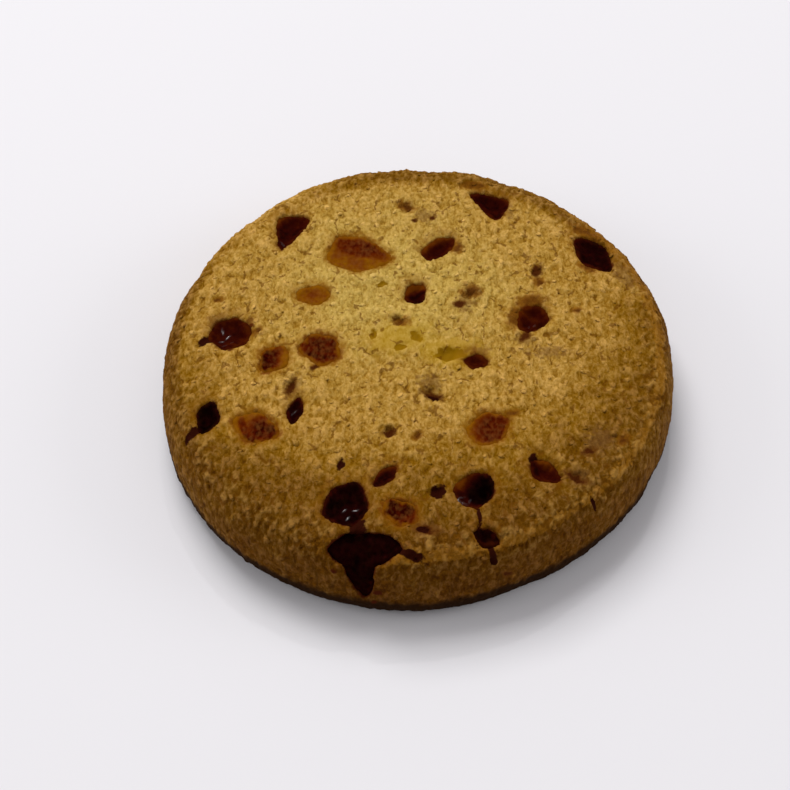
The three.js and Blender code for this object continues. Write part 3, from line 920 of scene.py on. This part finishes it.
def toffee_melt():
    """The tree that lets a lump's top climb its walls, sag, ripple and burst as boiling toffee does."""
    tree, given = start_tree("toffee_melt", (*MELT["toffee_dark"], "Bubble X", "Bubble Y", "Bubble Width"))
    place = node(tree, "GeometryNodeInputPosition", {})[0]
    outward = node(tree, "GeometryNodeInputNormal", {})[0]
    upward = node(tree, "ShaderNodeSeparateXYZ", {0: outward})["Z"]
    is_wall = node(tree, "FunctionNodeCompare", {0: upward, 1: WALL_SLOPE}, operation="LESS_THAN")[0]
    walls = node(
        tree,
        "GeometryNodeSeparateGeometry",
        {"Geometry": given["Geometry"], "Selection": is_wall},
        domain="FACE",
    )["Selection"]
    reach = node(tree, "GeometryNodeProximity", {0: walls}, target_element="FACES")["Distance"]
    bowl = node(
        tree,
        "ShaderNodeMapRange",
        {"Value": reach, "From Min": HIDDEN_EDGE * MM, "From Max": given["Bowl Reach"]},
        interpolation_type="SMOOTHSTEP",
    )[0]
    lowest = node(tree, "ShaderNodeMath", {0: given["Sag"], 1: -1.0}, operation="MULTIPLY")[0]
    level = node(tree, "ShaderNodeMapRange", {"Value": bowl, "To Min": given["Climb"], "To Max": lowest})[0]
    pace = node(tree, "ShaderNodeMath", {0: 1.0, 1: given["Ripple Size"]}, operation="DIVIDE")[0]
    waves = node(tree, "ShaderNodeTexNoise", {"Vector": place, "Scale": pace, "Detail": 2.0})[0]
    wave = node(tree, "ShaderNodeMath", {0: waves, 1: NOISE_MIDDLE}, operation="SUBTRACT")[0]
    ridge = node(tree, "GeometryNodeInputNamedAttribute", {"Name": "wet"}, data_type="FLOAT")[0]
    for share, height in ((wave, "Ripple Height"), (ridge, "Ridge Height")):
        level = node(
            tree, "ShaderNodeMath", {0: share, 1: given[height], 2: level}, operation="MULTIPLY_ADD"
        )[0]
    burst = burst_bubble(tree, place, given)
    level = node(tree, "ShaderNodeMath", {0: level, 1: burst}, operation="SUBTRACT")[0]
    top = node(
        tree,
        "ShaderNodeMapRange",
        {"Value": upward, "From Min": TOP_SPAN[0], "From Max": TOP_SPAN[1]},
        interpolation_type="SMOOTHSTEP",
    )[0]
    level = node(tree, "ShaderNodeMath", {0: level, 1: top}, operation="MULTIPLY")[0]
    lift = node(tree, "ShaderNodeCombineXYZ", {"Z": level})[0]
    moved = node(tree, "GeometryNodeSetPosition", {"Geometry": given["Geometry"], "Offset": lift})[0]
    end_tree(tree, moved, given["Material"])
    return tree


def make_lumps(looks):
    """Every toffee lump, in its pocket; returned by family."""
    tree = toffee_melt()
    lumps = {family: [] for family in MELT}
    for name, family in family_of_lumps().items():
        lump = baked_down(even_copy(f"melted_{name}", name, TOFFEE_GRID, TOFFEE_SOFTENING))
        points = points_of(lump.data)
        in_shoulder = lump.name == SHOULDER_LUMP
        bond = SHOULDER_BOND if in_shoulder else TOFFEE_BOND
        place_points(lump.data, points + bond * normals_of(lump.data))
        store(lump.data, "depth", np.maximum(syrup_depth(points), LEAST_DEPTHS[family]))
        thick = THIN_EDGE[1] if in_shoulder else 0.0
        store(lump.data, "inset", inset_of(lump.data) + thick)
        store(lump.data, "wet", eased(nearness(points, RIDGES), *RIDGE_SPAN))
        (x, y), width = BURST_BUBBLES.get(name, ((0.0, 0.0), 0.0))
        bubble = {"Bubble X": x, "Bubble Y": y, "Bubble Width": width}
        shaped(lump, tree, MELT[family] | bubble, looks[family])
        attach(lump, "root")
        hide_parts(name)
        lumps[family].append(lump)
    return lumps


def new_finish(name):
    """A new material, its tree and the inputs of its surface."""
    material = bpy.data.materials.new(name)
    material.use_nodes = True
    return material, material.node_tree, material.node_tree.nodes["Principled BSDF"].inputs


def cooked_colour(tree, share, stops):
    """The colour of crust by how brown it is, or of syrup by its depth, between stops from 0 to 1."""
    colour = node(tree, "ShaderNodeValToRGB", {"Fac": share})["Color"]
    elements = colour.node.color_ramp.elements
    for position, _ in stops[1:-1]:
        elements.new(position)
    for element, (position, stop) in zip(elements, stops):
        element.position = position
        element.color = linear(stop)
    return colour


def clouded(tree, place, value, size, swing):
    """A value that drifts up and down by half a swing, in clouds of a size in millimetres."""
    clouds = node(tree, "ShaderNodeTexNoise", {"Vector": place, "Scale": 1 / (size * MM), "Detail": 3.0})[0]
    cloud = node(tree, "ShaderNodeMath", {0: clouds, 1: NOISE_MIDDLE}, operation="SUBTRACT")[0]
    return node(tree, "ShaderNodeMath", {0: cloud, 1: swing, 2: value}, operation="MULTIPLY_ADD")[0]


def streaks(tree, place):
    """Fine wrinkles that run down the side."""
    drawn = node(tree, "ShaderNodeVectorMath", {0: place, 1: WRINKLE_STRETCH}, operation="MULTIPLY")[0]
    wrinkles = node(
        tree, "ShaderNodeTexNoise", {"Vector": drawn, "Scale": 1 / (WRINKLE_SIZE * MM), "Detail": 2.0}
    )[0]
    side = node(tree, "ShaderNodeAttribute", {}, attribute_name="side")["Fac"]
    return node(tree, "ShaderNodeMath", {0: wrinkles, 1: side}, operation="MULTIPLY")[0]


def sandy_colour_with_painted_light(tree, place, clump, browning_and_shade):
    """The crust's colour, with light and shade painted in: the tops of its clumps are painted brighter and
    the crust between them painted darker and browner; grains are paler."""
    brightness = node(tree, "ShaderNodeAttribute", {}, attribute_name="grain")["Fac"]
    gain = node(
        tree, "ShaderNodeMapRange", {"Value": browning_and_shade, "To Min": CLUMP_GAIN[0], "To Max": CLUMP_GAIN[1]}
    )[0]
    for low, high, least, most in ((*CLUMP_SHADE, 1.0), (*CLUMP_LIGHT, 0.0, gain)):
        share = node(
            tree,
            "ShaderNodeMapRange",
            {"Value": clump, "From Min": low, "From Max": high, "To Min": least, "To Max": most},
        )[0]
        brightness = node(tree, "ShaderNodeMath", {0: brightness, 1: share}, operation="ADD")[0]
    drawn = node(tree, "ShaderNodeVectorMath", {0: place, 1: CLUMP_STRETCH}, operation="MULTIPLY")[0]
    brightness = clouded(tree, drawn, brightness, *SAND)
    sockets = {"Color": cooked_colour(tree, browning_and_shade, CRUST_BROWNING_AND_SHADE), "Value": brightness}
    for name, (low, high, shaded, lit) in (("Hue", SHADE_HUE), ("Saturation", SHADE_STRENGTH)):
        sockets[name] = node(
            tree,
            "ShaderNodeMapRange",
            {"Value": brightness, "From Min": low, "From Max": high, "To Min": shaded, "To Max": lit},
        )[0]
    return node(tree, "ShaderNodeHueSaturation", sockets)[0]


def stained_and_painted_light_colour(tree, place, colour):
    """A colour of the crust under what lies on it, soaked into it or parts it, and under the light and shade
    painted on it.
    """
    depth = node(tree, "ShaderNodeAttribute", {}, attribute_name="depth")["Fac"]
    patterns = {"split": splits(tree, place, SPLIT_WIDTHS[0]), "streak": streaks(tree, place)}
    for name, start, full, most, size, patchiness, stain_and_light in CRUST_STAINS_AND_PAINTED_LIGHT:
        field = patterns.get(name)
        if field is None:
            field = node(tree, "ShaderNodeAttribute", {}, attribute_name=name)["Fac"]
        share = node(
            tree,
            "ShaderNodeMapRange",
            {
                "Value": clouded(tree, place, field, size, patchiness),
                "From Min": start,
                "From Max": full,
                "To Max": most,
            },
            interpolation_type="SMOOTHSTEP",
        )[0]
        tint = linear(stain_and_light) if isinstance(stain_and_light, str) else cooked_colour(tree, depth, stain_and_light)
        colour = node(tree, "ShaderNodeMix", {0: share, 6: colour, 7: tint}, data_type="RGBA")[2]
    return colour


def sable_dough():
    """Butter dough with coarse flour and sugar, sliced from a log and baked: matte, sandy, with fine pores.
    The eye sees straw in the middle, gold, then brown at the rim and side, dark splits and pale grains;
    light and shade are painted into its colour as well."""
    material, tree, surface = new_finish("baked_sable_dough")
    place = node(tree, "ShaderNodeAttribute", {}, attribute_name="crust_place")["Vector"]

    # The oven browned the crust unevenly; the same field holds painted shade towards the viewer's side
    browning_and_shade = node(tree, "ShaderNodeAttribute", {}, attribute_name="browning_and_shade")["Fac"]
    for size, swing in BROWNING_CLOUDS:
        browning_and_shade = clouded(tree, place, browning_and_shade, size, swing)
    clump = clumps(tree, place)
    colour = sandy_colour_with_painted_light(tree, place, clump, browning_and_shade)
    tree.links.new(stained_and_painted_light_colour(tree, place, colour), surface["Base Color"])
    surface["Roughness"].default_value = 0.8
    surface["Specular IOR Level"].default_value = 0.03

    # The clumps stand out of the crust, least where butter smoothed it
    crumbly = node(tree, "ShaderNodeAttribute", {}, attribute_name="crumbly")["Fac"]
    bump = node(
        tree, "ShaderNodeBump", {"Height": clump, "Distance": CLUMP_BUMP * MM, "Strength": crumbly}
    )[0]
    tree.links.new(bump, surface["Normal"])
    return material


def boiled_toffee(name, stops, crumb):
    """Sugar and butter boiled to toffee: a syrup that set in the oven, amber and clear where it is thin, red
    brown to near black where it is deep, dulled by crumb, with bare ridges that glint."""
    material, tree, surface = new_finish(name)
    place = node(tree, "ShaderNodeTexCoord", {})["Object"]

    # The syrup's depth drifts, and it is thinner near the walls
    depth = node(tree, "ShaderNodeAttribute", {}, attribute_name="depth")["Fac"]
    for size, swing in SYRUP_CLOUDS:
        depth = clouded(tree, place, depth, size, swing)
    inset = node(tree, "ShaderNodeAttribute", {}, attribute_name="inset")["Fac"]
    start, full, least = THIN_EDGE
    thinned = node(
        tree,
        "ShaderNodeMapRange",
        {
            "Value": clouded(tree, place, inset, *THIN_CLOUDS),
            "From Min": start,
            "From Max": full,
            "To Min": least,
        },
        interpolation_type="SMOOTHSTEP",
    )[0]
    depth = node(tree, "ShaderNodeMath", {0: depth, 1: thinned}, operation="MULTIPLY")[0]
    colour = cooked_colour(tree, depth, stops)

    # Crumb stuck in it, most along its frayed edge
    drawn = node(tree, "ShaderNodeVectorMath", {0: place, 1: CLUMP_STRETCH}, operation="MULTIPLY")[0]
    crumbs = node(
        tree, "ShaderNodeTexNoise", {"Vector": drawn, "Scale": 1 / (STUCK_SIZE * MM), "Detail": 2.0}
    )[0]
    stuck = clouded(tree, place, crumbs, *STUCK_CLOUDS)
    frayed = clouded(tree, drawn, inset, *FRAYED_CLOUDS)
    layers = (
        (stuck, STUCK_SPAN, crumb, STUCK_CRUMB),
        (frayed, FRAYED_SPAN, FRAYED_GAIN * crumb, SOAKED_CRUMB),
    )
    for field, (start, full), most, tint in layers:
        share = node(
            tree,
            "ShaderNodeMapRange",
            {"Value": field, "From Min": start, "From Max": full, "To Max": most},
        )[0]
        colour = node(tree, "ShaderNodeMix", {0: share, 6: colour, 7: linear(tint)}, data_type="RGBA")[2]
    tree.links.new(colour, surface["Base Color"])

    # Bare ridges glint where no crumb dulls them
    wet = node(tree, "ShaderNodeAttribute", {}, attribute_name="wet")["Fac"]
    for socket, (dull, bare) in GLOSS.items():
        gloss = node(tree, "ShaderNodeMapRange", {"Value": wet, "To Min": dull, "To Max": bare})[0]
        tree.links.new(gloss, surface[socket])
    bump = node(tree, "ShaderNodeBump", {"Height": crumbs, "Distance": STUCK_HEIGHT * crumb * MM})[0]
    tree.links.new(bump, surface["Normal"])
    return material


def pale_floor():
    """A sheet of white paper under the biscuit."""
    half = 1.5  # of its width
    below = -0.05 * MM  # clear of the base
    mesh = bpy.data.meshes.new("floor")
    corners = [(-half, -half, below), (half, -half, below), (half, half, below), (-half, half, below)]
    mesh.from_pydata(corners, [], [(0, 1, 2, 3)])
    paper, _, surface = new_finish("white_paper")
    surface["Base Color"].default_value = linear("#e3e1e4")
    surface["Roughness"].default_value = 0.9
    mesh.materials.append(paper)
    new_piece("floor", mesh)


def studio():
    """Soft boxes overhead and at both sides, and a small lamp that the toffee glints in."""
    world = bpy.data.worlds.new("studio")
    world.use_nodes = True
    sky = world.node_tree.nodes["Background"]
    sky.inputs["Color"].default_value = linear("#f4f3f5")
    sky.inputs["Strength"].default_value = 0.45
    bpy.context.scene.world = world
    # Name, place and size in metres, and power in watts
    lamps = (
        ("key", (-0.28, 0.60, 1.00), 0.6, 9.5),
        ("left", (-0.8, 0.0, 0.32), 0.5, 1.75),
        ("right", (0.8, 0.0, 0.32), 0.5, 1.75),
        ("glint", (0.06, 0.68, 0.94), 0.024, 0.8),
    )
    for name, place, size, power in lamps:
        lamp = bpy.data.lights.new(name, "AREA")
        lamp.size = size
        lamp.energy = power
        light = new_piece(name, lamp)
        light.location = place
        light.rotation_euler = (-Vector(place)).to_track_quat("-Z", "Y").to_euler()
    bpy.context.scene.view_settings.view_transform = "Standard"


def viewer():
    """The camera, where the viewer stands."""
    tilt = math.radians(VIEW_ELEVATION)
    back = Vector((0.0, -math.cos(tilt), math.sin(tilt)))
    up = Vector((0.0, math.sin(tilt), math.cos(tilt)))
    across = Vector((1.0, 0.0, 0.0))
    lens = bpy.data.cameras.new("viewer")
    lens.lens = VIEW_LENS
    lens.sensor_width = VIEW_SENSOR
    lens.clip_start = 10 * MM
    camera = new_piece("viewer", lens)
    camera.location = (back * VIEW_DISTANCE + across * VIEW_OFFSET[0] + up * VIEW_OFFSET[1]) * MM
    camera.rotation_euler = back.to_track_quat("Z", "Y").to_euler()
    bpy.context.scene.camera = camera


viewer()
studio()
pale_floor()
toffee_looks = {
    "toffee_dark": boiled_toffee("dark_boiled_toffee", DARK_SYRUP, STUCK_SHARES["toffee_dark"]),
    "toffee_amber": boiled_toffee("amber_toffee", AMBER_SYRUP, STUCK_SHARES["toffee_amber"]),
}
crust_look = sable_dough()
toffee_lumps = make_lumps(toffee_looks)
sandy_dough = make_dough(crust_look, toffee_lumps)
make_grains(sandy_dough, crust_look)
